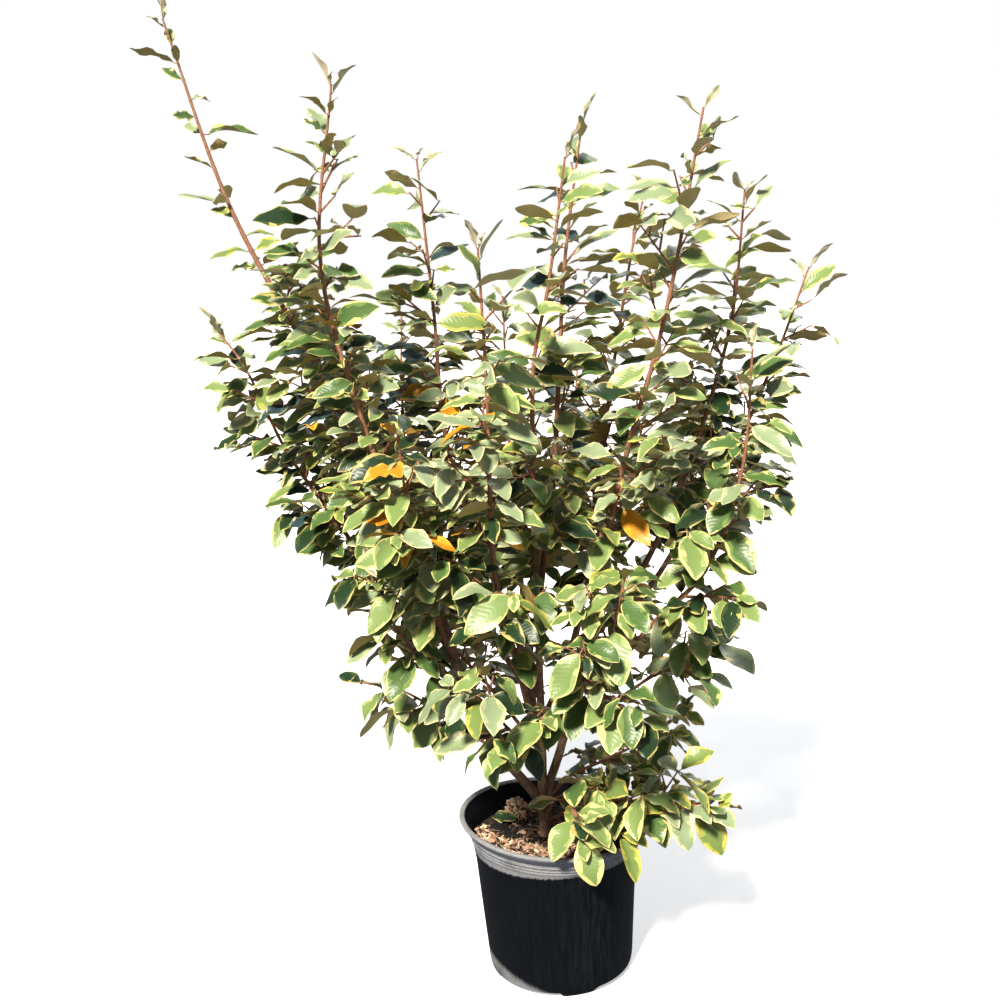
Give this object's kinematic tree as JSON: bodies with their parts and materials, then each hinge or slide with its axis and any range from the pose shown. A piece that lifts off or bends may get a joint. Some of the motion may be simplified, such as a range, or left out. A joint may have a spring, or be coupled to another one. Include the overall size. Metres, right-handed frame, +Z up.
{
  "type": "potted elaeagnus shrub",
  "caption": "Tall vase-shaped variegated elaeagnus shrub with long upright leafy leaders, standing in a round black nursery pot filled with compost.",
  "frame": {"origin": "middle of the pot's flat underside, on the surface it stands on", "axes": "+Z up along the trunk, +X to the plant's right as the picture shows it, +Y away from the viewer of the picture"},
  "size_m": [1.1232, 0.8405, 1.6287],
  "materials": {
    "pot_plastic": "matte, dusty, faintly ringed",
    "compost": "loose, fibrous, damp",
    "bark": "rough, fissured low down, smooth above",
    "foliage": "leathery, green with a cream-yellow edge, tan below"
  },
  "bodies": {
    "root": {"pot": "pot_plastic", "compost": "compost", "trunk": "bark", "bough_centre": "bark", "bough_left": "bark", "bough_front": "bark", "bough_right": "bark", "bough_back": "bark", "bough_rim_right": "bark", "bough_rim_front": "bark", "bough_droop_right": "bark", "bough_centre_right": "bark", "bough_left_middle": "bark", "bough_back_right": "bark", "bough_far_left": "bark", "bough_low_left": "bark", "bough_left_lobe": "bark", "bough_left_front": "bark", "bough_droop_left": "bark", "bough_front_low": "bark", "bough_front_right": "bark", "bough_right_side": "bark", "bough_right_front": "bark", "bough_right_low": "bark", "bough_far_right": "bark", "bough_back_right_low": "bark", "bough_back_left": "bark", "bough_back_middle": "bark", "bough_back_low_left": "bark", "bough_back_low_right": "bark", "bough_back_far_left": "bark", "foliage_centre": "foliage", "foliage_left": "foliage", "foliage_front": "foliage", "foliage_right": "foliage", "foliage_back": "foliage", "foliage_rim_right": "foliage", "foliage_rim_front": "foliage", "foliage_droop_right": "foliage", "foliage_centre_right": "foliage", "foliage_left_middle": "foliage", "foliage_back_right": "foliage", "foliage_far_left": "foliage", "foliage_low_left": "foliage", "foliage_left_lobe": "foliage", "foliage_left_front": "foliage", "foliage_droop_left": "foliage", "foliage_front_low": "foliage", "foliage_front_right": "foliage", "foliage_right_side": "foliage", "foliage_right_front": "foliage", "foliage_right_low": "foliage", "foliage_far_right": "foliage", "foliage_back_right_low": "foliage", "foliage_back_left": "foliage", "foliage_back_middle": "foliage", "foliage_back_low_left": "foliage", "foliage_back_low_right": "foliage", "foliage_back_far_left": "foliage"}
  },
  "joints": []
}
